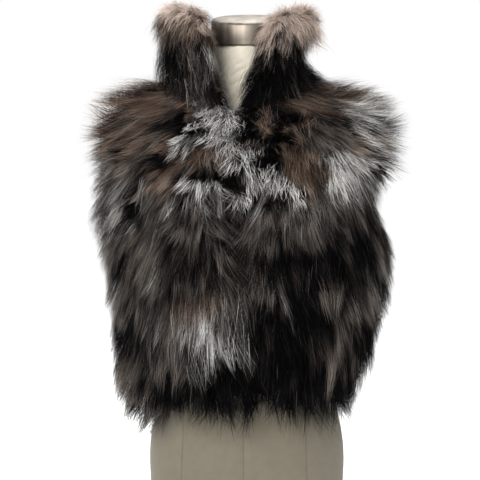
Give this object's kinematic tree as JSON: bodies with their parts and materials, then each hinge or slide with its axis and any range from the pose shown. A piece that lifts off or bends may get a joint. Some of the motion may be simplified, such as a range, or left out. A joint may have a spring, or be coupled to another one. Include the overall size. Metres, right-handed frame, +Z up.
{
  "type": "fur vest on a dress form",
  "caption": "Sleeveless long-pile fur vest with a tall stand collar that opens in a V, worn by a limbless linen dress form with a metal neck cap.",
  "frame": {"origin": "middle of the form's flat foot", "axes": "+Z up through the neck, the vest's front faces -Y, +X is the wearer's left"},
  "size_m": [0.5168, 0.4034, 0.8848],
  "materials": {
    "fur": "long pile, silver, brown and black",
    "collar_fur": "long pile, taupe tips over black",
    "linen": "plain weave",
    "cap_metal": "brushed"
  },
  "bodies": {
    "root": {"front_right": "fur", "front_left": "fur", "back": "fur", "collar_right": "collar_fur", "collar_left": "collar_fur", "form_torso": "linen", "form_neck_cap": "cap_metal"}
  },
  "joints": []
}
